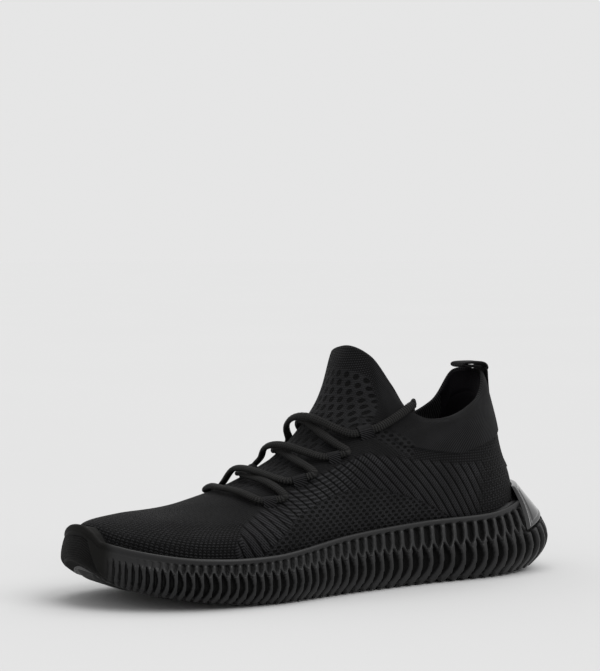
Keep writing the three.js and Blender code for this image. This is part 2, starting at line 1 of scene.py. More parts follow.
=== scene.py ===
import bpy
import numpy as np
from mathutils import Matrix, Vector


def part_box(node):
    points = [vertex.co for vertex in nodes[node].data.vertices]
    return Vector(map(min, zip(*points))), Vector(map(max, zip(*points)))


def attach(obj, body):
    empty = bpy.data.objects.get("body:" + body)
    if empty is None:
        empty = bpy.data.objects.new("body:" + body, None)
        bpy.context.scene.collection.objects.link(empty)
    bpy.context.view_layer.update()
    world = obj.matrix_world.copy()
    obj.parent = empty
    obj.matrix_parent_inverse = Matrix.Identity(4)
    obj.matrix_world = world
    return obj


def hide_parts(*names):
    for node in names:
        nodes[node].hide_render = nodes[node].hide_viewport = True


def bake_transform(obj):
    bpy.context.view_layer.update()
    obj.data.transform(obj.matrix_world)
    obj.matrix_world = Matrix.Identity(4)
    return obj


# Black knit running shoe, left foot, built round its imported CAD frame.
# Shapes are worked out in millimetres in the part's design frame: the heel is at x = 0, the toe at
# x = 300, the lateral side is +y and the ground is z = 0. place() takes them to metres in the row frame.
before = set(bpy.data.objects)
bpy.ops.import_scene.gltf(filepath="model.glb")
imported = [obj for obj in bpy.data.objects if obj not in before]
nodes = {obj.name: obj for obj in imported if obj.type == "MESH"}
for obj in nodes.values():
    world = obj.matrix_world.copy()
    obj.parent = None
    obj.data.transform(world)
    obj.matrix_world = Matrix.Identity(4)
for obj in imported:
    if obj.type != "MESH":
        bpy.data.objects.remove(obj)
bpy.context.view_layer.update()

# ---- Sizes shared with the part --------------------------------------------------------------
STATIONS = 16  # round the shoe: the heel at 0, the lateral side, the toe at 8, the medial side
TOE = 8
KNIT_WALL = 2.4
TUCK = 6.0  # how far the knit reaches down inside the sole
BELLY = 0.62  # how far down the sidewall is widest
TOPLINE = 6  # the row of the knit's upper edge
LACE_WIDE = 4.7
LACE_END_WIDE = 4.4
LACE_TALL = 3.0
LACE_OFF = 2.6  # lace centre above the knit
LACE_SINK = 1.3  # how much lower it lies in the middle of a tunnel

SOLE_OUTLINE = [
    [0, 0], [12, 28], [50, 40], [103, 40], [155, 45], [207, 53], [252, 48], [286, 26],
    [300, -6], [287, -36], [254, -49], [212, -51], [155, -40], [103, -37], [50, -38], [12, -27],
]
RIM_HEIGHT = [43, 42, 35.5, 34, 31, 25, 26, 33, 41, 33, 27, 26, 32, 35, 36, 42]
RIM_INSET = [16, 14, 7, 4.5, 3, 2.5, 2.5, 2.5, 3, 2.5, 2.5, 2.5, 3, 4.5, 7, 14]
BOTTOM_HEIGHT = [12, 4, 1, 1, 1, 1, 4.5, 11, 20, 12, 5, 1, 1, 1, 1, 4]
BOTTOM_INSET = [10, 8, 5, 4, 4, 4, 5, 6, 7, 6, 5, 4, 4, 4, 5, 8]
UPPER_NET = [
    [[20, 0, 36], [30, 20, 35], [60, 31, 32], [106, 32, 32], [156, 37, 28], [206, 46, 23],
     [249, 42, 23], [280, 23, 31], [292, -6, 37]],
    [[25, 0, 56], [34, 21, 54], [62, 33, 50], [106, 35, 48], [156, 40, 44], [205, 47, 35],
     [247, 40, 34], [276, 22, 38], [287, -6, 43]],
    [[34.5, 0, 74], [40.5, 22, 71], [63, 34, 65], [105, 36, 62], [151, 39, 56], [198, 42, 44],
     [237, 33, 41], [260, 18, 44], [268, -6, 46]],
    [[37.5, 0, 90], [43.5, 21, 86], [62, 32, 79], [101, 36, 76], [140, 37, 71], [181, 34, 57],
     [211, 25, 50], [229, 11, 49], [235, -2.5, 49]],
    [[39, 0, 103], [45, 17, 100], [60, 30, 89], [93, 34, 84], [122, 35, 81], [149, 32, 75],
     [169, 22, 69], [181, 9, 65], [186, -1.5, 63]],
    [[39.5, 0, 114], [45.5, 13, 110], [58, 24, 99], [81, 32, 91], [100, 32, 90], [114, 30, 94],
     [128, 25, 97], [142, 13, 96], [149, -3, 95]],
    [[40, 0, 116], [46, 12, 112], [59, 23, 101], [81, 31, 93], [99, 31, 92], [110, 28, 98],
     [116, 22, 111], [123, 12, 126], [130, -2, 132]],
]
# Where the medial side of the collar, tongue and instep differs: row, station, x, y, z.
MEDIAL_TOP = [
    [6, 9, 127, -23, 127], [6, 10, 118, -27, 113], [5, 9, 143, -17.5, 96],
    [6, 13, 81, -30, 86], [6, 14, 60, -20.5, 97], [6, 15, 48, -15.5, 115],
    [5, 13, 81, -30.5, 83.5], [5, 14, 59.5, -21.5, 94], [5, 15, 47, -16, 111.5],
    [4, 13, 93, -33, 79], [4, 14, 60, -27, 86], [4, 9, 181, -12, 65], [3, 9, 229, -15, 49],
]
TUNNELS = [
    [[5.8, 3], [5.2, 2.8]],
    [[5.8, 3.5], [5.18, 3.46]],
    [[5.76, 4.04], [5.08, 3.98]],
    [[5.82, 4.48], [5.2, 4.58]],
]
RIDGE_X = [211, 194, 172, 155]
LACE_TOP = [5.06, 5.38]
UNDER_LIFT = 0.4
CROSSING_LIFT = 4.8
LACE_END = [
    [107, 30.5, 99.5], [105.5, 27.5, 100.4], [104, 24, 98], [103, 23.2, 90], [102.5, 23.6, 80],
    [102.5, 24, 70], [103, 24, 60], [105, 23.8, 50], [109, 23.4, 42], [115, 22.8, 37.8],
    [123, 22.2, 37], [131, 21.8, 36.6],
]
TREAD = {
    "outsole_toe": [6.7, 7.5, -0.62, 0.62],
    "outsole_ball_lateral": [4.9, 6.45, 0.07, 0.84],
    "outsole_ball_medial": [4.9, 6.45, -0.84, -0.07],
    "outsole_heel_lateral": [1.15, 2.75, 0.1, 0.8],
    "outsole_heel_medial": [1.15, 2.75, -0.8, -0.1],
}


# ---- Curves and surfaces ---------------------------------------------------------------------
def smooth(x, low, high):
    t = np.clip((np.asarray(x, float) - low) / (high - low), 0, 1)
    return t * t * (3 - 2 * t)


def mix(a, b, t):
    return a + (b - a) * t


def rounded(share):
    """A quarter circle, from 0 at an edge to 1 inside it."""
    return np.sqrt(np.clip(1 - (1 - np.clip(share, 0, 1)) ** 2, 0, 1))


def past_heel(station):
    """Stations from the heel: up to 8 on the lateral side, down to -8 on the medial one."""
    return (station + TOE) % STATIONS - TOE


def from_toe(station):
    return TOE - np.abs(past_heel(station))


def unit(v):
    return v / np.maximum(np.linalg.norm(v, axis=-1, keepdims=True), 1e-12)


def catmull_rom(a, b, c, d, t):
    bend = 2 * a - 5 * b + 4 * c - d
    return 0.5 * (2 * b + (c - a) * t + bend * t * t + (3 * b - a - 3 * c + d) * t * t * t)


def closed(points, station):
    """A closed list of values or points, read smoothly at any station."""
    points = np.asarray(points, float)
    station = np.asarray(station, float)
    i = np.floor(station).astype(int)
    t = station - i
    n = len(points)
    if points.ndim == 2:
        t = t[..., None]
    read = [points[(i + k) % n] for k in (-1, 0, 1, 2)]
    return catmull_rom(*read, t)


def centre_line(x, z):
    waist = 2 * np.exp(-(((x - 160) / 45) ** 2))
    return waist - 6 * smooth(x, 235, 295) - 3 * smooth(z, 95, 132)


def mirrored(p):
    x, y, z = p
    return [x, 2 * float(centre_line(x, z)) - y, z]


NET = np.array([row + [mirrored(p) for p in row[7:0:-1]] for row in UPPER_NET], float)
for net_row, net_station, *net_point in MEDIAL_TOP:
    NET[net_row, net_station] = net_point
NET_ROWS = np.concatenate([[2 * NET[0] - NET[1]], NET, [2 * NET[-1] - NET[-2]]])


def upper_point(station, row):
    """A point of the knit's outer face. Below the feather line the wall drops straight down."""
    station, row = np.broadcast_arrays(np.asarray(station, float), np.asarray(row, float))
    r = np.clip(row, 0, TOPLINE)
    j = np.minimum(np.floor(r).astype(int), TOPLINE - 1)
    t = (r - j)[..., None]
    i = np.floor(station).astype(int)
    ts = (station - i)[..., None]

    def read(k):
        return catmull_rom(*[NET_ROWS[k, (i + m) % STATIONS] for m in (-1, 0, 1, 2)], ts)

    p = catmull_rom(read(j), read(j + 1), read(j + 2), read(j + 3), t)
    p[..., 2] += np.minimum(row, 0) * TUCK
    return p


def upper_normal(station, row):
    e = 0.01
    station, row = np.broadcast_arrays(np.asarray(station, float), np.asarray(row, float))
    r = np.clip(row, e, TOPLINE - e)
    along = upper_point(station + e, r) - upper_point(station - e, r)
    up = upper_point(station, r + e) - upper_point(station, r - e)
    return unit(np.cross(up, along))


def upper_offset(station, row, out):
    return upper_point(station, row) + upper_normal(station, row) * np.asarray(out)[..., None]


def row_where(station, low, high, test):
    """The row, between two others, up to which test holds at each station."""
    a = np.full(np.shape(station), float(low))
    b = np.full(np.shape(station), float(high))
    for _ in range(24):
        middle = (a + b) / 2
        holds = test(upper_point(station, middle))
        a = np.where(holds, middle, a)
        b = np.where(holds, b, middle)
    return a


def sole_plan(station, inset):
    e = 0.01
    along = unit(closed(SOLE_OUTLINE, station + e) - closed(SOLE_OUTLINE, station - e))
    inward = np.stack([along[..., 1], -along[..., 0]], -1)
    return closed(SOLE_OUTLINE, station) + inward * np.asarray(inset)[..., None]


def rim_trim(station):
    """How far the rim stands over the part's smooth one: a flat bumper, then a quick fall beside it."""
    past_toe = (station % STATIONS) - TOE
    places = [-2.2, -1.56, -1.11, -0.95, -0.74, -0.62, -0.47, -0.3, 0, 0.34, 0.7, 1.1, 2.2]
    lifts = [0, -0.7, -1.4, -1.5, -2.2, -2.7, 0.2, 1.5, 0, -1.7, -3, -2, 0]
    return np.interp(past_toe, places, lifts)


def sole_point(station, down):
    """A point of the midsole's sidewall: down is 0 at the rim and 1 at the bottom edge."""
    station, down = np.broadcast_arrays(np.asarray(station, float), np.asarray(down, float))
    rim = closed(RIM_INSET, station)
    bottom = closed(BOTTOM_INSET, station)
    above = 1 - np.minimum(down / BELLY, 1)
    below = np.maximum((down - BELLY) / (1 - BELLY), 0)
    plan = sole_plan(station, rim * above ** 1.6 + bottom * below ** 2)
    low = np.maximum(closed(BOTTOM_HEIGHT, station), 1)
    high = closed(RIM_HEIGHT, station) + rim_trim(station)
    return np.concatenate([plan, mix(high, low, down)[..., None]], -1)


def foot_line(station, out, drop):
    """The line where the knit meets the sole, moved out and down."""
    n = upper_normal(station, 0.01)
    n[..., 2] = 0
    p = upper_point(station, 0) + unit(n) * out
    p[..., 2] -= drop
    return p


def side_of(station):
    """1 on the lateral side and -1 on the medial one, fading at the toe and the heel."""
    return np.clip(3 * np.sin(np.pi * station / TOE), -1, 1)


FINE = np.linspace(0, STATIONS, 3201)


def run_along(points):
    """The distance along a line of points, at each of them."""
    return np.concatenate([[0], np.cumsum(np.linalg.norm(np.diff(points, axis=0), axis=1))])


def even_stations(curve, count):
    """count + 1 stations all the way round, evenly spaced along curve(station)."""
    run = run_along(curve(FINE))
    return np.interp(np.linspace(0, run[-1], count + 1), run, FINE)


sole_low = sole_point(FINE, BELLY).min(0)
box_low = np.array(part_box("midsole")[0]) * 1000
OFFSET = np.array([box_low[0] - sole_low[0], box_low[1] - sole_low[1], box_low[2] - 1.0])


def place(points):
    """Design millimetres to metres in the row frame."""
    return (np.asarray(points, float) + OFFSET) / 1000


# ---- Meshes ----------------------------------------------------------------------------------
def grid_object(name, points, ring=False, flip=False, fields=None):
    """A smooth mesh from a (columns, rows, 3) grid. A ring's last column repeats its first.
    fields are values for the material, held on the face corners so that they can jump at a seam."""
    columns, rows = points.shape[:2]
    used = columns - 1 if ring else columns
    i, j = np.meshgrid(np.arange(columns - 1), np.arange(rows - 1), indexing="ij")
    turn = [(0, 0), (0, 1), (1, 1), (1, 0)] if flip else [(0, 0), (1, 0), (1, 1), (0, 1)]
    at_column = np.stack([i + a for a, _ in turn], -1).reshape(-1)
    at_row = np.stack([j + b for _, b in turn], -1).reshape(-1)
    faces = ((at_column % used) * rows + at_row).reshape(-1, 4)
    mesh = bpy.data.meshes.new(name)
    mesh.from_pydata(place(points[:used].reshape(-1, 3)).tolist(), [], faces.tolist())
    mesh.polygons.foreach_set("use_smooth", np.ones(len(mesh.polygons), bool))
    for key, values in (fields or {}).items():
        stored = mesh.attributes.new(key, "FLOAT_VECTOR", "CORNER")
        stored.data.foreach_set("vector", values[at_column, at_row].astype(np.float32).ravel())
    mesh.update()
    obj = bpy.data.objects.new(name, mesh)
    bpy.context.scene.collection.objects.link(obj)
    return obj


def finish_piece(obj, material, body="root", stands_for=()):
    obj.data.materials.append(material)
    if body:
        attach(obj, body)
    if stands_for:
        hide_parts(*stands_for)
    return obj


def spline(points, per_step):
    """Points along a smooth curve through the given ones, ends included."""
    points = np.asarray(points, float)
    more = np.concatenate([[2 * points[0] - points[1]], points, [2 * points[-1] - points[-2]]])
    t = np.linspace(0, 1, per_step, endpoint=False)[:, None]
    parts = [catmull_rom(*more[k:k + 4], t) for k in range(len(points) - 1)]
    return np.concatenate([*parts, points[-1:]])


def relaxed(points, rounds=45):
    """The same points with their kinks drawn straight, as a pulled cord lies. The ends stay."""
    points = points.copy()
    for _ in range(rounds):
        points[1:-1] += 0.25 * (points[2:] + points[:-2] - 2 * points[1:-1])
    return points


def ribbed_cord(name, path, facing, wide, tall, sides=20):
    """An oval woven cord along path, its flat side towards facing, with fine ribs across it."""
    tangent = unit(np.gradient(path, axis=0))
    side = unit(np.cross(tangent, facing))
    up = np.cross(side, tangent)
    run = run_along(path)
    around = np.linspace(0, 2 * np.pi, sides + 1)[:, None]
    taper = np.sqrt(np.clip(np.minimum(run, run[-1] - run), 0.02, 1))
    ribs = 1 + 0.035 * np.cos(2 * np.pi * run / 1.4)
    reach = (taper * ribs)[None, :, None]
    flat = np.sign(np.cos(around)) * np.abs(np.cos(around)) ** 0.85
    points = (path[None] + side[None] * (flat * wide / 2)[..., None] * reach
              + up[None] * (np.sin(around) * tall / 2)[..., None] * reach)
    weave = np.stack(np.broadcast_arrays(around / (2 * np.pi) * 12, run[None] / 1.4, 0 * around), -1)
    return grid_object(name, points, ring=True, fields={"weave": weave})


# ---- Node materials --------------------------------------------------------------------------
class Nodes:
    """Short calls that add nodes to one material and return their outputs."""

    def __init__(self, name, roughness=0.8, specular=0.5, **settings):
        self.material = bpy.data.materials.new(name)
        self.material.use_nodes = True
        self.tree = self.material.node_tree
        self.shader = self.tree.nodes["Principled BSDF"]
        self.shader.inputs["Roughness"].default_value = roughness
        self.shader.inputs["Specular IOR Level"].default_value = specular
        for key, value in settings.items():
            self.shader.inputs[key.replace("_", " ")].default_value = value

    def node(self, kind, **inputs):
        node = self.tree.nodes.new(kind)
        for key, value in inputs.items():
            self.feed(node.inputs[key.replace("_", " ")], value)
        return node

    def feed(self, socket, value):
        if isinstance(value, bpy.types.NodeSocket):
            self.tree.links.new(value, socket)
        else:
            socket.default_value = value

    def math(self, kind, a, b=0.0, c=0.0):
        node = self.tree.nodes.new("ShaderNodeMath")
        node.operation = kind
        for socket, value in zip(node.inputs, (a, b, c)):
            self.feed(socket, value)
        return node.outputs[0]

    def field(self, name):
        """The three values of a mesh field."""
        node = self.tree.nodes.new("ShaderNodeAttribute")
        node.attribute_name = name
        split = self.node("ShaderNodeSeparateXYZ", Vector=node.outputs["Vector"])
        return list(split.outputs)

    def position(self):
        return self.tree.nodes.new("ShaderNodeTexCoord").outputs["Object"]

    def noise(self, scale, detail=2.0, vector=None):
        node = self.node("ShaderNodeTexNoise", Scale=scale, Detail=detail)
        self.feed(node.inputs["Vector"], vector or self.position())
        return node.outputs["Fac"]

    def ramp(self, value, low, high, to_low=0.0, to_high=1.0):
        """value read from low to high, smoothly, and sent to to_low to to_high."""
        node = self.tree.nodes.new("ShaderNodeMapRange")
        node.interpolation_type = "SMOOTHSTEP"
        for socket, number in zip(node.inputs, (value, low, high, to_low, to_high)):
            self.feed(socket, number)
        return node.outputs[0]

    def wave(self, value):
        """A cosine from 0 to 1, once for each whole number, 1 at the whole numbers."""
        turned = self.math("MULTIPLY", value, 2 * np.pi)
        return self.math("MULTIPLY_ADD", self.math("COSINE", turned), 0.5, 0.5)

    def colour(self, share, a, b):
        node = self.tree.nodes.new("ShaderNodeMix")
        node.data_type = "RGBA"
        self.feed(node.inputs[0], share)
        self.feed(node.inputs[6], (*a, 1) if isinstance(a, tuple) else a)
        self.feed(node.inputs[7], (*b, 1) if isinstance(b, tuple) else b)
        return node.outputs[2]

    def stitches(self, u, v):
        """Height of a plain knit: columns of V shapes, one column and one stitch to a unit."""
        slant = self.math("PINGPONG", self.math("ADD", u, 0.5), 0.5)
        loops = self.wave(self.math("ADD", v, slant))
        column = self.ramp(self.math("PINGPONG", u, 0.5), 0.0, 0.3)
        return self.math("MULTIPLY", loops, column)

    def holes(self, u, v, radius, narrow=1.0):
        """1 in the middle of each hole of a staggered net, 0 outside it."""
        odd = self.math("MULTIPLY", self.math("MODULO", self.math("FLOOR", v), 2.0), 0.5)
        a = self.math("SUBTRACT", self.math("FRACT", self.math("ADD", u, odd)), 0.5)
        a = self.math("MULTIPLY", a, narrow)
        b = self.math("SUBTRACT", self.math("FRACT", v), 0.5)
        squares = self.math("ADD", self.math("POWER", a, 2.0), self.math("POWER", b, 2.0))
        away = self.math("SQRT", squares)
        return self.ramp(away, radius * 0.62, radius, 1.0, 0.0)

    def done(self, colour=None, height=None, depth=0.0004, roughness=None):
        if colour is not None:
            self.feed(self.shader.inputs["Base Color"], colour)
        if roughness is not None:
            self.feed(self.shader.inputs["Roughness"], roughness)
        if height is not None:
            bump = self.node("ShaderNodeBump", Strength=1.0, Distance=depth, Height=height)
            self.feed(self.shader.inputs["Normal"], bump.outputs[0])
        return self.material


def knit_material():
    n = Nodes("knit", roughness=0.8, specular=0.09, Sheen_Weight=0.02, Sheen_Roughness=0.5)
    across, up, _ = n.field("knit")
    rib, stitch, rib_share = n.field("ribs")
    net_u, net_v, net_share = n.field("net")
    collar, coarse, _ = n.field("zones")
    plain = n.stitches(across, up)
    band = n.wave(n.math("ADD", across, n.math("MULTIPLY", up, 0.5)))
    base = n.math("ADD", n.math("MULTIPLY", plain, n.math("SUBTRACT", 1.0, collar)),
                  n.math("MULTIPLY", band, collar))
    dots = n.holes(n.math("MULTIPLY", across, 0.62), n.math("MULTIPLY", up, 0.75), 0.38)
    dots = n.math("MULTIPLY", dots, coarse)
    groove = n.ramp(n.math("PINGPONG", rib, 0.5), 0.02, 0.2, 1.0, 0.0)
    groove = n.math("MULTIPLY", groove, rib_share)
    ladder = n.math("MULTIPLY", n.wave(stitch), rib_share)
    hole = n.math("MULTIPLY", n.holes(net_u, net_v, 0.47, 1.35), net_share)
    height = n.math("MULTIPLY", base, n.math("SUBTRACT", 0.55, n.math("MULTIPLY", rib_share, 0.45)))
    height = n.math("MULTIPLY_ADD", ladder, 0.35, height)
    height = n.math("MULTIPLY_ADD", groove, -1.1, height)
    height = n.math("MULTIPLY_ADD", dots, -0.6, height)
    height = n.math("MULTIPLY_ADD", hole, -1.6, height)
    shade = n.math("MAXIMUM", n.math("MULTIPLY", groove, 0.95), hole)
    shade = n.math("MAXIMUM", shade, n.math("MULTIPLY", dots, 0.8))
    cloudy = n.noise(60.0)
    lit = n.math("MULTIPLY", n.math("POWER", base, 2.0), 0.75)
    lit = n.math("MAXIMUM", lit, n.math("POWER", ladder, 2.0))
    lit = n.math("MAXIMUM", lit, n.math("MULTIPLY", net_share, 0.42))
    lit = n.math("MULTIPLY", lit, n.ramp(cloudy, 0.3, 0.7, 0.6, 1.0))
    yarn = n.colour(lit, (0.0011, 0.0011, 0.0012), (0.027, 0.027, 0.029))
    colour = n.colour(shade, yarn, (0.0002, 0.0002, 0.0002))
    return n.done(colour, height, 0.0005)


def woven_material(name, dark, light, specular=0.15):
    """Fine ribs across a cord or a strap, with threads between them."""
    n = Nodes(name, roughness=0.7, specular=specular)
    across, along, _ = n.field("weave")
    skew = n.math("MULTIPLY", n.math("PINGPONG", across, 1.0), 0.25)
    ribs = n.wave(n.math("ADD", along, skew))
    threads = n.wave(across)
    height = n.math("MULTIPLY_ADD", threads, 0.35, ribs)
    # painted light and shade: the rib crests are painted lighter and the troughs between them darker
    colour = n.colour(n.math("MULTIPLY", ribs, n.ramp(n.noise(90.0), 0.3, 0.7, 0.6, 1.0)), dark, light)
    return n.done(colour, height, 0.0004)


def foam_material():
    n = Nodes("foam", roughness=0.42, specular=0.24)
    depth, toe_tone_and_shade, _ = n.field("relief")
    grain = n.noise(2200.0, 3.0)
    cloudy = n.noise(35.0)
    body = n.colour(cloudy, (0.0105, 0.0105, 0.0108), (0.0145, 0.0145, 0.0149))
    # the toe zone is painted darker and warmer: partly the bumper's own tone, partly painted shade for its
    # side turned from the light
    body = n.colour(toe_tone_and_shade, body, (0.0022, 0.0020, 0.0016))
    # painted shade: near black where the relief field marks a groove, the clip's seat or the toe's lines,
    # as the shade in them; the same field roughens them below
    colour = n.colour(n.ramp(depth, 0.0, 0.55), body, (0.0002, 0.0002, 0.0002))
    worn = n.ramp(cloudy, 0.3, 0.7, 0.36, 0.46)
    rough = n.math("MULTIPLY_ADD", n.math("MAXIMUM", n.ramp(depth, 0.1, 0.9), toe_tone_and_shade), 0.45, worn)
    return n.done(colour, grain, 0.00006, rough)


def moulded_material(name, dark, light, roughness, grain=1500.0, **settings):
    n = Nodes(name, roughness=roughness, **settings)
    cloudy = n.noise(45.0)
    colour = n.colour(cloudy, dark, light)
    rough = n.ramp(cloudy, 0.3, 0.7, roughness * 0.85, roughness * 1.15)
    return n.done(colour, n.noise(grain, 3.0), 0.00004, rough)


def cloth_material(name, dark, light, pitch=0.0009):
    """A fine plain weave in the object's own coordinates."""
    n = Nodes(name, roughness=0.8, specular=0.08)
    split = n.node("ShaderNodeSeparateXYZ", Vector=n.position())
    x, y, z = split.outputs
    warp = n.wave(n.math("MULTIPLY", n.math("ADD", x, z), 1 / pitch))
    weft = n.wave(n.math("MULTIPLY", n.math("ADD", y, z), 1 / pitch))
    height = n.math("MAXIMUM", warp, weft)
    # painted light and shade: the raised crossings of the weave are painted lighter than the hollows
    # between them
    colour = n.colour(n.math("MULTIPLY", height, n.noise(70.0)), dark, light)
    return n.done(colour, height, 0.0002)


KNIT = knit_material()
FOAM = foam_material()
LACE = woven_material("lace", (0.0014, 0.0014, 0.0013), (0.0145, 0.0142, 0.0135))
WEBBING = woven_material("webbing", (0.0014, 0.0014, 0.0015), (0.0105, 0.0105, 0.011))
RUBBER = moulded_material("rubber", (0.004, 0.004, 0.004), (0.0065, 0.0065, 0.0065), 0.6, specular=0.3)
GLOSS = moulded_material("gloss", (0.006, 0.006, 0.0065), (0.009, 0.009, 0.0095), 0.14,
                         Coat_Weight=0.6, Coat_Roughness=0.08)
TIP = moulded_material("lace_tip", (0.004, 0.004, 0.004), (0.006, 0.006, 0.006), 0.25)
LINING = cloth_material("lining", (0.0016, 0.0012, 0.0019), (0.0042, 0.0034, 0.0050), 0.0008)
INSOLE = cloth_material("insole", (0.0025, 0.0025, 0.0027), (0.006, 0.006, 0.0064), 0.0012)
BOARD = moulded_material("board", (0.04, 0.04, 0.04), (0.07, 0.07, 0.07), 0.9)
PADDING = moulded_material("padding", (0.02, 0.02, 0.02), (0.03, 0.03, 0.03), 0.95, 700.0)


# ---- Camera and light ------------------------------------------------------------------------
def add_camera():
    data = bpy.data.cameras.new("camera")
    data.lens = 111.2
    data.clip_start = 0.01
    camera = bpy.data.objects.new("camera", data)
    camera.location = (0.6144, 0.9636, 0.1842)
    aim = Vector((0.0121, -0.0006, 0.1377))
    camera.rotation_euler = (aim - camera.location).to_track_quat("-Z", "Y").to_euler()
    bpy.context.scene.collection.objects.link(camera)
    bpy.context.scene.camera = camera


def add_sun(name, direction, strength, spread):
    """Soft light from far away, which reaches the whole floor evenly."""
    data = bpy.data.lights.new(name, "SUN")
    data.energy = strength
    data.angle = np.radians(spread)
    light = bpy.data.objects.new(name, data)
    light.rotation_euler = Vector(direction).to_track_quat("Z", "Y").to_euler()
    light.location = Vector(direction) * 2
    bpy.context.scene.collection.objects.link(light)


def add_studio():
    world = bpy.data.worlds.new("studio")
    world.use_nodes = True
    background = world.node_tree.nodes["Background"]
    background.inputs["Color"].default_value = (1, 1, 1, 1)
    background.inputs["Strength"].default_value = 0.79
    bpy.context.scene.world = world
    bpy.context.scene.view_settings.view_transform = "Standard"
    add_sun("top", (-0.25, -0.05, 1.0), 1.1, 55)
    add_sun("key", (-0.45, 1.0, 1.1), 1.3, 40)


def add_floor():
    mesh = bpy.data.meshes.new("floor")
    half = 30
    corners = [(-half, -half, 0), (half, -half, 0), (half, half, 0), (-half, half, 0)]
    mesh.from_pydata(corners, [], [(0, 1, 2, 3)])
    floor = bpy.data.objects.new("floor", mesh)
    n = Nodes("floor_paint", roughness=1.0, specular=0.0)
    paint = n.colour(n.noise(2.0), (0.548, 0.548, 0.548), (0.558, 0.558, 0.558))
    floor.data.materials.append(n.done(paint))
    bpy.context.scene.collection.objects.link(floor)


# ---- Lace ------------------------------------------------------------------------------------
def tunnel_place(tunnel, a, medial):
    (s0, r0), (s1, r1) = tunnel
    s = mix(s0, s1, a)
    return [STATIONS - s if medial else s, mix(r0, r1, a)]


def strand(start, end, ridge, lift, steps):
    """Places over the instep from one mouth to another: points and the normals under them."""
    x0 = upper_point(*start)[0]
    x1 = upper_point(*end)[0]
    t = np.arange(1, steps + 1) / (steps + 1)
    bend = 4 * t * (1 - t)
    station = mix(start[0], end[0], t)
    x = mix(x0, x1, t) + bend * (ridge - (x0 + x1) / 2)
    row = row_where(station, 1, TOPLINE, lambda p: p[..., 0] > x)
    out = LACE_OFF + lift * bend ** 2
    return list(zip(upper_offset(station, row, out), upper_normal(station, row)))


def lace_route():
    """Across the bottom, then crossing from side to side up to the collar's edge."""
    before, past = -0.05, 1.05  # the lace runs straight a little beyond both mouths of a tunnel

    def spot(station, row, sink=0.0):
        return (upper_offset(station, row, LACE_OFF - sink), upper_normal(station, row))

    def half(start_medial):
        route = []
        medial = start_medial
        for level, tunnel in enumerate(TUNNELS):
            for a, sink in ((before, 0), (0.25, 1.1), (0.5, LACE_SINK), (0.75, 1.1), (past, 0)):
                route.append(spot(*tunnel_place(tunnel, a, medial), sink))
            if level + 1 < len(TUNNELS):
                start = tunnel_place(tunnel, past, medial)
                end = tunnel_place(TUNNELS[level + 1], before, not medial)
                lift = CROSSING_LIFT if medial else UNDER_LIFT
                route += strand(start, end, RIDGE_X[level + 1], lift, 7)
                medial = not medial
        top = [STATIONS - LACE_TOP[0], LACE_TOP[1]] if medial else LACE_TOP
        last = tunnel_place(TUNNELS[-1], past, medial)
        route += [spot(mix(last[0], top[0], t), mix(last[1], top[1], t)) for t in (0.3, 0.65, 1.0)]
        edge = np.array(mirrored(LACE_END[0]) if medial else LACE_END[0])
        inward = 0.5 if medial else -0.5
        route.append((edge + [-0.6, 0.8 * inward, 0.3], unit(np.array([0, -inward, 0.85]))))
        return route

    start = [STATIONS - TUNNELS[0][0][0], TUNNELS[0][0][1]]
    bar = strand(start, TUNNELS[0][0], RIDGE_X[0], 0, 6)
    return half(True)[::-1] + bar + half(False)


def add_lace():
    route = lace_route()
    path = relaxed(spline([p for p, _ in route], 12))
    facing = unit(relaxed(spline([q for _, q in route], 12)))
    lace = ribbed_cord("lace_tied", path, facing, LACE_WIDE, LACE_TALL)
    finish_piece(lace, LACE, "root", ["lace"])


def add_lace_end(side, medial):
    points = [mirrored(p) if medial else p for p in LACE_END]
    path = spline(points, 10)
    inward = 1.0 if medial else -1.0
    facing = np.tile([0.25, inward, 0.1], (len(path), 1))
    low = smooth(run_along(path), 50, 75)[:, None]
    facing = unit(facing * (1 - low) + np.array([0.0, 0.0, 1.0]) * low)
    cord = ribbed_cord(f"lace_end_{side}_cord", path, facing, LACE_END_WIDE, LACE_TALL)
    finish_piece(cord, LACE, "root", [f"lace_end_{side}"])


# ---- Knit upper and tongue -------------------------------------------------------------------
# Edges of the patterns on the side: places along x, then the height z at each.
LEAF_TOP = ([70, 79, 95, 110, 134, 150, 169, 190, 212, 222], [20, 33, 42, 48, 55, 56, 53, 44, 27, 10])
RIB_TOP = ([40, 60, 79, 100, 119, 142, 157, 172, 190, 205, 222, 232],
           [68, 66, 66, 69, 71, 75, 70, 64, 56, 49, 41, 30])
COLLAR_LOW = ([30, 54, 79, 100, 120, 132], [86, 77, 71, 74, 78, 86])
# The quarter's ribs along x: how many degrees they lean, and the distance between them.
LEAN_AT = [35, 60, 110, 150, 195, 225]
LEAN = [62, 58, 43, 42, 55, 68]
SPACING_AT = [50, 90, 150, 225]
SPACING = [4.4, 4.3, 4.1, 4.2]


def rib_lean(x):
    return np.radians(np.interp(x, LEAN_AT, LEAN))


def rib_spacing(x):
    return np.interp(x, SPACING_AT, SPACING)


def rib_count(x, z):
    """How many of the quarter's ribs lie before each point."""
    steps = np.arange(20.0, 260.0)
    passed = np.cumsum(np.sin(rib_lean(steps)) / rib_spacing(steps))
    return np.interp(x, steps, passed) - (z - 60) * np.cos(rib_lean(x)) / rib_spacing(x)


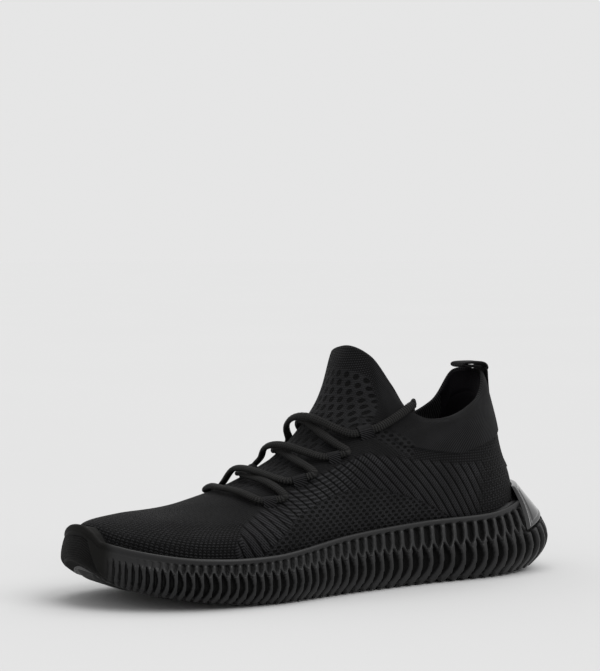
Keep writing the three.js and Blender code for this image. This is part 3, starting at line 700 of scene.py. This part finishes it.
def knit_zones(station, row, p):
    """Which pattern the knit has at each point: the fields that its material reads."""
    x, y, z = p[..., 0], p[..., 1], p[..., 2]
    away = from_toe(station)
    collar_low = np.interp(x, *COLLAR_LOW)
    leaf = smooth(np.interp(x, *LEAF_TOP) - z, -1, 1)
    ribs = smooth(np.interp(x, *RIB_TOP) - z, -1.0, 1.5) * (1 - leaf)
    ribs = ribs * smooth(x, 57, 68) * smooth(-x, -232, -228) * smooth(away, 1.9, 2.2)
    collar = smooth(z, collar_low - 0.6, collar_low + 0.6) * smooth(-x, -128, -122)
    eyelet = np.exp(-(((z - mix(75, 87, (x - 112) / 24)) / 5.0) ** 4)) * smooth(x, 110, 113)
    eyelet = eyelet * smooth(-x, -138, -134)
    side_limit = np.interp(row, [4.6, 5.1, 5.65], [2.4, 1.9, 1.25])
    tongue = smooth(side_limit - away, -0.05, 0.05) * smooth(row, 4.62, 4.68) * smooth(-row, -5.68, -5.62)
    throat = smooth(1.5 - away, -0.05, 0.05) * smooth(row, 3.5, 3.56) * smooth(-row, -4.62, -4.56)
    net_share = np.maximum.reduce([leaf * smooth(x, 76, 82), eyelet, tongue, throat * 0.8])
    on_side = leaf + eyelet > 0.02
    net_u = np.where(on_side, x / 4.7, y / 5.0)
    net_v = np.where(on_side, z / 2.05, row * 7.8)
    coarse = smooth(-x, -70, -58) * (1 - collar) + smooth(x, 196, 214) * (1 - ribs) * 0.6
    coarse = np.clip(coarse, 0, 1) * (1 - np.clip(net_share, 0, 1))
    run = x * np.cos(rib_lean(x)) + z * np.sin(rib_lean(x))
    return {
        "ribs": np.stack([rib_count(x, z), -run / 1.45, ribs], -1),
        "net": np.stack([net_u, net_v, net_share], -1),
        "zones": np.stack([collar, coarse, 0 * x], -1),
    }


def heel_packing(station, row):
    """How much thicker the knit lies round the heel, over its stiffener and padding."""
    from_heel = np.abs(past_heel(station))
    below = np.linalg.norm(upper_point(station, TOPLINE) - upper_point(station, row), axis=-1)
    return 3.7 * smooth(-from_heel, -3.2, -2.75) * smooth(below, 0.8, 14)


def add_knit():
    """The upper and the tongue as one skin: outside, over the edge and down the inside."""
    stations = even_stations(lambda s: upper_point(s, 1.5) + upper_point(s, 4), 840)
    rows = np.concatenate([[-1, -0.5], np.linspace(0, TOPLINE, 250)])
    s, r = np.meshgrid(stations, rows, indexing="ij")
    p = upper_point(s, r)
    normal = upper_normal(s, r)
    step = np.linalg.norm(np.diff(p, axis=1), axis=-1)
    up = np.concatenate([0 * step[:, :1], np.cumsum(step, 1)], 1)
    below = up[:, -1:] - up
    fields = knit_zones(s, r, p)
    around = run_along(upper_point(stations, 2.2))
    around = around / around[-1] * round(around[-1] / 1.9)
    count = np.broadcast_to(around[:, None], s.shape)
    fields["knit"] = np.stack([count, up / 1.5, 0 * up], -1)
    rib = fields["ribs"]
    crest = np.abs(np.sin(np.pi * rib[..., 0])) ** 0.5 - 0.7
    relief = 0.45 * crest * rib[..., 2]
    collar = fields["zones"][..., 0]
    relief += 0.9 * collar * smooth(below, 0, 6) - 0.25 * np.exp(-((collar - 0.5) / 0.3) ** 2)
    half = KNIT_WALL / 2
    curl = half - np.sqrt(half ** 2 - (half - np.minimum(below, half)) ** 2)
    outer = p + normal * (relief - curl)[..., None]
    back = np.linspace(len(rows) - 1, 0, 110).round().astype(int)
    packed = heel_packing(s, r)
    inner = p[:, back] - normal[:, back] * (KNIT_WALL + packed - curl)[:, back][..., None]
    points = np.concatenate([outer, inner[:, 1:]], 1)
    both = {}
    for key, values in fields.items():
        inside = values[:, back[1:]].copy()
        if key == "zones":
            inside[...] = [1, 0, 0]
        elif key != "knit":
            inside[..., 2] = 0
        both[key] = np.concatenate([values, inside], 1)
    skin = grid_object("knit_skin", points, ring=True, flip=True, fields=both)
    finish_piece(skin, KNIT, None, ["knit_upper", "tongue"])
    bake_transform(skin)


def tunnel_band(tunnel, medial):
    """A short knit band that arches over the lace: a closed sheet with an upper and a lower face."""
    half_run, half_width = 0.23, 4.9
    a = np.linspace(0.5 - half_run, 0.5 + half_run, 26)
    station, row = tunnel_place(tunnel, a, medial)
    normal = upper_normal(station, row)
    back = upper_point(*tunnel_place(tunnel, 1, medial))
    front = upper_point(*tunnel_place(tunnel, 0, medial))
    side = unit(np.cross(normal, back - front))
    b = np.linspace(-1, 1, 33)
    from_mouth = np.clip(1 - np.abs(a - 0.5) / half_run, 0, 1)
    lip = 1 + 0.10 * smooth(-from_mouth, -0.25, 0)
    peak = (LACE_OFF - LACE_SINK + LACE_TALL / 2 + 0.9) * lip
    hump = np.cos(np.pi / 2 * b) ** 0.8
    height = peak[:, None] * hump[None] - 0.5
    base = upper_point(station, row)
    points = (base[:, None] + side[:, None] * (half_width * b)[None, :, None]
              + normal[:, None] * height[..., None])
    lower = points - normal[:, None] * (0.8 * hump + 0.1)[None, :, None]
    return np.concatenate([points, lower[:, ::-1], points[:, :1]], 1)


def add_tunnels():
    for level, tunnel in enumerate(TUNNELS):
        for medial in (False, True):
            points = tunnel_band(tunnel, medial)
            shape = points.shape[:2]
            u = np.broadcast_to(np.linspace(0, 5, shape[0])[:, None], shape)
            v = np.broadcast_to(np.linspace(0, 26, shape[1])[None], shape)
            zero = np.zeros(shape)
            none = np.stack([zero] * 3, -1)
            fields = {"knit": np.stack([v / 1.4, u * 1.3, zero], -1), "ribs": none, "net": none,
                      "zones": np.stack([zero + 1, zero, zero], -1)}
            name = f"lace_tunnel_{level + 1}_{'medial' if medial else 'lateral'}"
            finish_piece(grid_object(name, points, fields=fields), KNIT, "root")


# ---- Sole ------------------------------------------------------------------------------------
# At each station: the ribs' pitch, where their two tiers meet, and the height of the plain rim.
RIB_PITCH = [7.4, 7.4, 7.4, 7.3, 5.9, 5.0, 4.7, 3.6, 3.4, 3.6, 4.7, 5.0, 5.9, 7.3, 7.4, 7.4]
RIB_MIDDLE = [
    0.36, 0.36, 0.38, 0.42, 0.36, 0.33, 0.33, 0.33, 0.33, 0.33, 0.33, 0.33, 0.36, 0.42, 0.38, 0.36,
]
RIM_BAND = [1.3, 1.3, 1.3, 1.3, 1.3, 1.3, 1.5, 2.8, 4.5, 2.8, 1.5, 1.3, 1.3, 1.3, 1.3, 1.3]
CLIP_TOP_HALF = 0.95
CLIP_LOW_HALF = 1.5


def slot_depth(phase, centre, half):
    """A rounded slot once a pitch: 1 at its deepest and 0 outside it."""
    away = np.abs((phase - centre + 0.5) % 1 - 0.5)
    return np.clip(1 - (away / np.maximum(half, 1e-6)) ** 2, 0, 1) ** 0.6


def leaning_slot(phase, centre, half, side):
    """A slot that slopes down from its toe edge and ends in a steep wall."""
    q = ((phase - centre + 0.5) % 1 - 0.5) * side / np.maximum(half, 1e-6)
    q = np.clip(q, -1, 1)
    return np.minimum(((1 - q) / 1.7) ** 0.8, (1 + q) / 0.3)


def clip_low(across):
    """How far down the sidewall the lower edge of the heel clip lies."""
    return mix(0.3, 0.38, across ** 2)


def rib_relief(station, down, phase, tall):
    """The two tiers of ribs: their height, and the painted shade in their grooves, darkest where they go
    deepest.
    """
    below = down * tall
    away = from_toe(station)
    heel = smooth(away, 3.0, 6.0)
    middle = closed(RIB_MIDDLE, station)
    band = closed(RIM_BAND, station)
    side = side_of(station)
    lift = smooth(below, band, band + 0.6)
    fade = 1 - smooth(down, middle - 0.16, middle + 0.08)
    upper = leaning_slot(phase, -side * 0.5 * (middle - down), 0.36 * lift * fade, np.sign(side))
    upper_deep = mix(1.9, 4.0, heel) * smooth(away, 0.95, 2.0)
    t = np.clip((down - middle + 0.08) / (1.06 - middle), 0, 1)
    half = np.sin(np.pi * np.clip(t / 0.97, 0, 1) ** 0.9) ** 0.75
    half = mix(0.27, 0.37, smooth(away, 0.8, 2.4)) * half
    bow = 0.5 - side * (0.30 * np.sin(np.pi * t) - 0.34 * t * t)
    lower = slot_depth(phase, bow, half)
    lower_deep = mix(3.2, 4.6, heel) * mix(0.5, 1.0, smooth(away, 0.8, 2.2))
    teeth = slot_depth(phase, 0.5 + side * 0.34, 0.26 * smooth(t, 0.8, 1))
    knots = np.exp(-(((down - middle) * tall / 1.3) ** 2)) * (0.5 + 0.5 * np.cos(4 * np.pi * phase))
    belly = np.sin(np.pi * t) * 0.5
    out = -upper * upper_deep - lower * lower_deep - teeth * 1.6 + 0.5 * knots + belly
    slim = mix(0.4, 1.0, smooth(away, 0.8, 2.4))
    # painted shade: the foam is painted darker the further a point lies down in a groove, where shade
    # falls
    painted_shade = np.maximum(upper * mix(0.6, 1.0, heel) * smooth(away, 0.95, 2.0), lower * slim)
    ribbed = smooth(away, 0.76, 0.84)
    return out * ribbed, painted_shade * ribbed


def carve_bumper(out, painted_shade, station, down, below):
    """The toe bumper's panel of fine lines, and the flutes along its bottom edge, with painted shade in
    both.
    """
    away = from_toe(station)
    edge = mix(0.38, 0.80, np.clip(down, 0, 1))
    panel = smooth(edge - away, 0, 0.06) * smooth(below, 3.2, 4.2) * smooth(-down, -0.82, -0.76)
    lines = 0.5 - 0.5 * np.cos(2 * np.pi * below / 1.22)
    out = out - panel * (0.25 + 0.55 * lines) + 0.25 * smooth(0.86 - away, 0, 0.1) * (1 - panel)
    # painted shade in the bumper's lines, and below in the flutes along its bottom edge
    painted_shade = np.maximum(painted_shade, panel * lines * 0.75)
    under = smooth(down, 0.83, 0.86) * smooth(0.9 - away, 0, 0.1)
    flutes = 0.5 - 0.5 * np.cos(2 * np.pi * (station * 9))
    return out - under * (0.15 + 0.35 * flutes), np.maximum(painted_shade, under * flutes * 0.7)


def sole_relief(station, down, phase):
    """Height in mm over the plain sidewall, the painted shade in its grooves and under the clip, and how
    near the toe's bumper.
    """
    high = closed(RIM_HEIGHT, station) + rim_trim(station)
    tall = high - np.maximum(closed(BOTTOM_HEIGHT, station), 1)
    below = down * tall
    out, painted_shade = rib_relief(station, down, phase, tall)
    out, painted_shade = carve_bumper(out, painted_shade, station, down, below)
    near = np.abs(past_heel(station))
    seat = mix(CLIP_TOP_HALF + 0.25, CLIP_LOW_HALF, down / 0.38) + 0.07
    low_edge = clip_low(np.clip(near / CLIP_LOW_HALF, 0, 1)) + 0.03
    cut = smooth(seat - near, -0.02, 0.02) * smooth(low_edge - down, -0.015, 0.015)
    out = np.where(cut > 0, mix(out, -1.6, cut), out)
    bead = np.exp(-((below / 0.9) ** 2)) * 0.75 - 0.3 * np.exp(-(((below - 1.9) / 0.5) ** 2))
    # painted shade: the seat cut under the heel clip is painted nearly as dark as the grooves
    painted_shade = np.clip(painted_shade * (1 - cut) + 0.9 * cut, 0, 1)
    # the toe zone, which the foam paints darker: partly its own tone, partly painted shade
    return out + bead * (1 - cut), painted_shade, smooth(0.95 - from_toe(station), 0, 0.25)


def pad_share(along, side):
    """1 where a tread pad lies on the sole's underside."""
    share = 0 * along
    for s0, s1, side0, side1 in TREAD.values():
        inside = smooth(along, s0 - 0.03, s0 - 0.01) * smooth(-along, -s1 - 0.03, -s1 - 0.01)
        across = smooth(side, side0 - 0.03, side0 - 0.01) * smooth(-side, -side1 - 0.03, -side1 - 0.01)
        share = np.maximum(share, inside * across)
    return share


def rib_phase(stations):
    """How many ribs lie before each station; all the way round it is a whole number."""
    pace = np.linalg.norm(np.gradient(sole_point(FINE, BELLY), axis=0), axis=1)
    count = np.concatenate([[0], np.cumsum((pace / closed(RIB_PITCH, FINE))[1:])])
    return np.interp(stations, FINE, count / count[-1] * round(count[-1]))


def sole_cup(stations, wall):
    """From the line under the knit up its outside, and over the rim's bead."""
    rim = sole_point(stations, 0)
    row = row_where(stations, 0, 2, lambda p: p[..., 2] < rim[..., 2])
    cup = upper_offset(stations, row, 0.35 + 0 * row)
    cup[..., 2] = rim[..., 2] - 0.4
    inward = sole_plan(stations, 1 + 0 * stations) - sole_plan(stations, 0 * stations)
    inward = np.concatenate([inward, 0 * inward[:, :1]], -1)
    up = np.array([0, 0, 1.0])
    bead_radius = 1.15
    bead = [wall[:, 0] + inward * (bead_radius * (1 - np.cos(a))) + up * (bead_radius * np.sin(a))
            for a in np.radians([35, 70, 105, 140, 165])]
    foot = foot_line(stations, 0.35, TUCK)
    return np.stack([foot, cup, mix(bead[-1], cup, 0.5), *bead[::-1]], 1)


def sole_under(stations, wall):
    """The underside, from the bottom edge to the middle, with a pocket for each tread pad."""
    partner = sole_point(STATIONS - stations, 1)
    f = np.linspace(0, 1, 70)[1:]
    base = sole_point(stations, 1)
    under = mix(base[:, None], partner[:, None], (f / 2)[None, :, None])
    under += (wall[:, -1] - base)[:, None] * (1 - smooth(f, 0, 0.16))[None, :, None]
    on_lateral = stations <= TOE
    along = np.where(on_lateral, stations, STATIONS - stations)[:, None] + 0 * f
    pocket = pad_share(along, np.where(on_lateral, 1.0, -1.0)[:, None] * (1 - f)[None])
    flutes = 0.5 - 0.5 * np.cos(2 * np.pi * along * 5)
    under[..., 2] += 2.45 * pocket + 0.7 * flutes * smooth(f, 0.1, 0.2)[None] * (1 - pocket)
    return under


def add_sole():
    stations = even_stations(lambda s: sole_point(s, BELLY), 1500)
    s, d = np.meshgrid(stations, np.linspace(0, 1, 76), indexing="ij")
    wall = sole_point(s, d)
    along = np.gradient(wall, axis=0)
    along[0] = along[-1] = wall[1] - wall[-2]
    normal = unit(np.cross(along, np.gradient(wall, axis=1)))
    phase = np.broadcast_to(rib_phase(stations)[:, None], s.shape)
    out, painted_shade, toe_tone_and_shade = sole_relief(s, d, phase)
    wall = wall + normal * out[..., None]
    top = sole_cup(stations, wall)
    under = sole_under(stations, wall)
    relief = np.stack([painted_shade, toe_tone_and_shade, 0 * painted_shade], -1)
    above = np.repeat(relief[:, :1] * [0, 1, 1], top.shape[1], 1)
    low = np.zeros((*under.shape[:2], 3))
    fields = {"relief": np.concatenate([above, relief, low], 1)}
    points = np.concatenate([top, wall, under], 1)
    sole = grid_object("ribbed_sole", points, ring=True, fields=fields)
    finish_piece(sole, FOAM, "root", ["midsole"])


def add_clip():
    """The glossy plate that leans from the heel's sidewall to the knit, with a lip round its edge."""
    across, rise = np.meshgrid(np.linspace(-1, 1, 121), np.linspace(0, 1, 61), indexing="ij")
    station = across * mix(CLIP_LOW_HALF, CLIP_TOP_HALF, rise)
    down = clip_low(across)
    e = 0.02
    foot = sole_point(station, down)
    along = sole_point(station + e, down) - sole_point(station - e, down)
    fall = sole_point(station, down + e) - foot
    normal = unit(np.cross(along, fall))
    inside = np.minimum((1 - np.abs(across)) * 34, np.minimum(rise, 1 - rise) * 24)
    groove = np.exp(-(((inside - 2.6) / 0.45) ** 2))
    out = mix(-1.2, 1.2 + 0.35 * (1 - across ** 2), rounded(inside)) - 0.6 * groove
    low = foot + normal * out[..., None]
    knit = upper_offset(station, 0.72 + 0 * station, out + 1.8)
    points = mix(low, knit, rise[..., None])
    clip = grid_object("heel_plate", points)
    finish_piece(clip, GLOSS, "root", ["heel_clip"])


def add_tread():
    """Rubber pads with chevron grooves cut into their undersides."""
    for name, (s0, s1, side0, side1) in TREAD.items():
        a, c = np.meshgrid(np.linspace(0, 1, 121), np.linspace(0, 1, 61), indexing="ij")
        s = mix(s0, s1, a)
        side = mix(side0, side1, c)
        base = mix(sole_point(s, 1), sole_point(STATIONS - s, 1), ((1 - side) / 2)[..., None])
        rim = np.minimum(np.minimum(a, 1 - a) * 12, np.minimum(c, 1 - c) * 6)
        zigzag = np.abs((c * 3) % 1 - 0.5) * 0.7
        cut = smooth(np.abs((a * 9 + zigzag) % 1 - 0.5), 0.30, 0.42) * smooth(rim, 0.9, 1.4)
        low = base.copy()
        low[..., 2] += -1 + 0.9 * cut + 0.8 * (1 - rounded(rim))
        high = base.copy()
        high[..., 2] += 2.0
        points = np.concatenate([high[:, :1], low, high[:, -1:]], 1)
        ends = np.pad(high, [(0, 0), (1, 1), (0, 0)], "edge")
        points = np.concatenate([ends[:1], points, ends[-1:]], 0)
        pad = grid_object(f"{name}_tread", points)
        finish_piece(pad, RUBBER, "root", [name])


# ---- Inside ----------------------------------------------------------------------------------
def add_sockliner():
    stations = even_stations(lambda s: foot_line(s, -5.2, 0), 300)
    partner = STATIONS - stations
    rings = []
    for out, drop in [(-7.5, 3.4), (-5.6, 3.3), (-5.2, 2.2), (-5.2, 0.4), (-5.5, -0.4), (-6.2, -0.8)]:
        rings.append(foot_line(stations, out, drop))
    edge = foot_line(stations, -6.2, -0.8)
    other = foot_line(partner, -6.2, -0.8)
    for f in np.linspace(0, 1, 40)[1:]:
        ring = mix(edge, other, f / 2)
        ring[..., 2] -= 1.4 * smooth(f, 0, 0.5)
        rings.append(ring)
    liner = grid_object("footbed", np.stack(rings, 1), ring=True, flip=True)
    finish_piece(liner, INSOLE, "root", ["sockliner"])


def add_lining():
    """Smooth lining round the inside of the heel, its edges rolled out to the knit."""
    t, c = np.meshgrid(np.linspace(-1, 1, 120), np.linspace(0, 1, 90), indexing="ij")
    s = t * 1.7
    row = mix(0.95, 5.72, c)
    inside = rounded(np.minimum((1 - np.abs(t)) * 10, np.minimum(c * 8, (1 - c) * 9)))
    seam = np.exp(-(((row - 4.05) / 0.05) ** 2)) * 0.6
    stitched = np.exp(-(((1 - c) / 0.04) ** 2)) * 0.3
    depth = KNIT_WALL + 0.1 + heel_packing(s, row) + inside * 0.9 - seam - stitched
    points = upper_offset(s, row, -depth)
    lining = grid_object("heel_sleeve", points, flip=True)
    finish_piece(lining, LINING, "root", ["heel_lining"])


def add_padding():
    """The foam behind the lining, closed in between the knit's two faces."""
    t, c = np.meshgrid(np.linspace(-1, 1, 60), np.linspace(0, 1, 24), indexing="ij")
    s = t * 1.95
    row = mix(3.7, 4.9, c)
    deepest = KNIT_WALL + heel_packing(s, row) - 0.35
    swell = rounded(np.minimum((1 - np.abs(t)) * 12, np.minimum(c, 1 - c) * 8))
    near = upper_offset(s, row, -(KNIT_WALL + 0.1 + 0 * s))
    far = upper_offset(s, row, -mix(KNIT_WALL + 0.15, deepest, swell))
    points = np.concatenate([near, far[:, ::-1], near[:, :1]], 1)
    pad = grid_object("heel_pad", points)
    finish_piece(pad, PADDING, "root", ["heel_padding"])


def add_strap():
    """The heel strip and the pull tab as one bent strap of webbing."""
    half_width, half_thick = 6.5, 0.8
    rows = np.linspace(1.08, 5.9, 60)
    back = upper_offset(0 * rows, rows, 1.35 + 0 * rows)
    back[:, 1] = 0
    top = upper_point(0, TOPLINE)
    x, z = top[0], top[2]
    over = [[x - 2.3, 0, z + 0.4], [x - 1.4, 0, z + 2.4], [x + 1.4, 0, z + 3.6], [x + 7, 0, z + 3.8],
            [x + 12.6, 0, z + 3.7], [x + 14.7, 0, z + 3.2], [x + 14.8, 0, z + 2.4], [x + 12.8, 0, z + 1.8],
            [x + 7, 0, z + 1.7], [x + 2.2, 0, z + 1.4]]
    path = spline(np.concatenate([back[::6], np.array(over)]), 10)
    run = run_along(path)
    path = np.stack([np.interp(np.linspace(0, run[-1], 420), run, path[:, k]) for k in range(3)], 1)
    run = run_along(path)
    tangent = unit(np.gradient(path, axis=0))
    normal = unit(np.cross(np.array([0, 1.0, 0]), tangent))
    w = np.concatenate([np.linspace(-1, 1, 25), np.linspace(1, -1, 25), [-1]])
    face = np.concatenate([np.full(25, 1.0), np.full(25, -1.0), [1.0]])
    edge = np.sqrt(np.clip(1 - np.abs(w) ** 12, 0, 1))
    wrap = smooth(-run, -60, -40)
    y = w * half_width
    curve = -(y ** 2)[:, None] / 46.0 * wrap[None]
    ends = np.clip(np.minimum(run, run[-1] - run) / 0.5, 0.05, 1)
    lift = (face * edge)[:, None] * half_thick * ends[None]
    points = path[None] + normal[None] * (lift + curve)[..., None]
    points[..., 1] += y[:, None]
    weave = np.stack(np.broadcast_arrays(y[:, None] / 1.1, run[None], 0 * lift), -1)
    strap = grid_object("heel_strap", points, ring=True, flip=True, fields={"weave": weave})
    finish_piece(strap, WEBBING, None, ["heel_strip", "pull_tab"])
    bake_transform(strap)


def dress_frame():
    """Materials for the CAD nodes that stay: the hidden stiffeners and the lace tips."""
    wear = {
        "strobel_board": BOARD, "toe_puff": BOARD, "heel_counter": BOARD,
        "aglet_lateral": TIP, "aglet_medial": TIP,
    }
    for name, material in wear.items():
        nodes[name].data.materials.clear()
        nodes[name].data.materials.append(material)


add_camera()
for lace_side, on_medial in (("lateral", False), ("medial", True)):
    add_lace_end(lace_side, on_medial)
add_lace()
add_studio()
add_floor()
add_knit()
add_tunnels()
add_sole()
add_clip()
add_tread()
add_sockliner()
add_lining()
add_padding()
add_strap()
dress_frame()
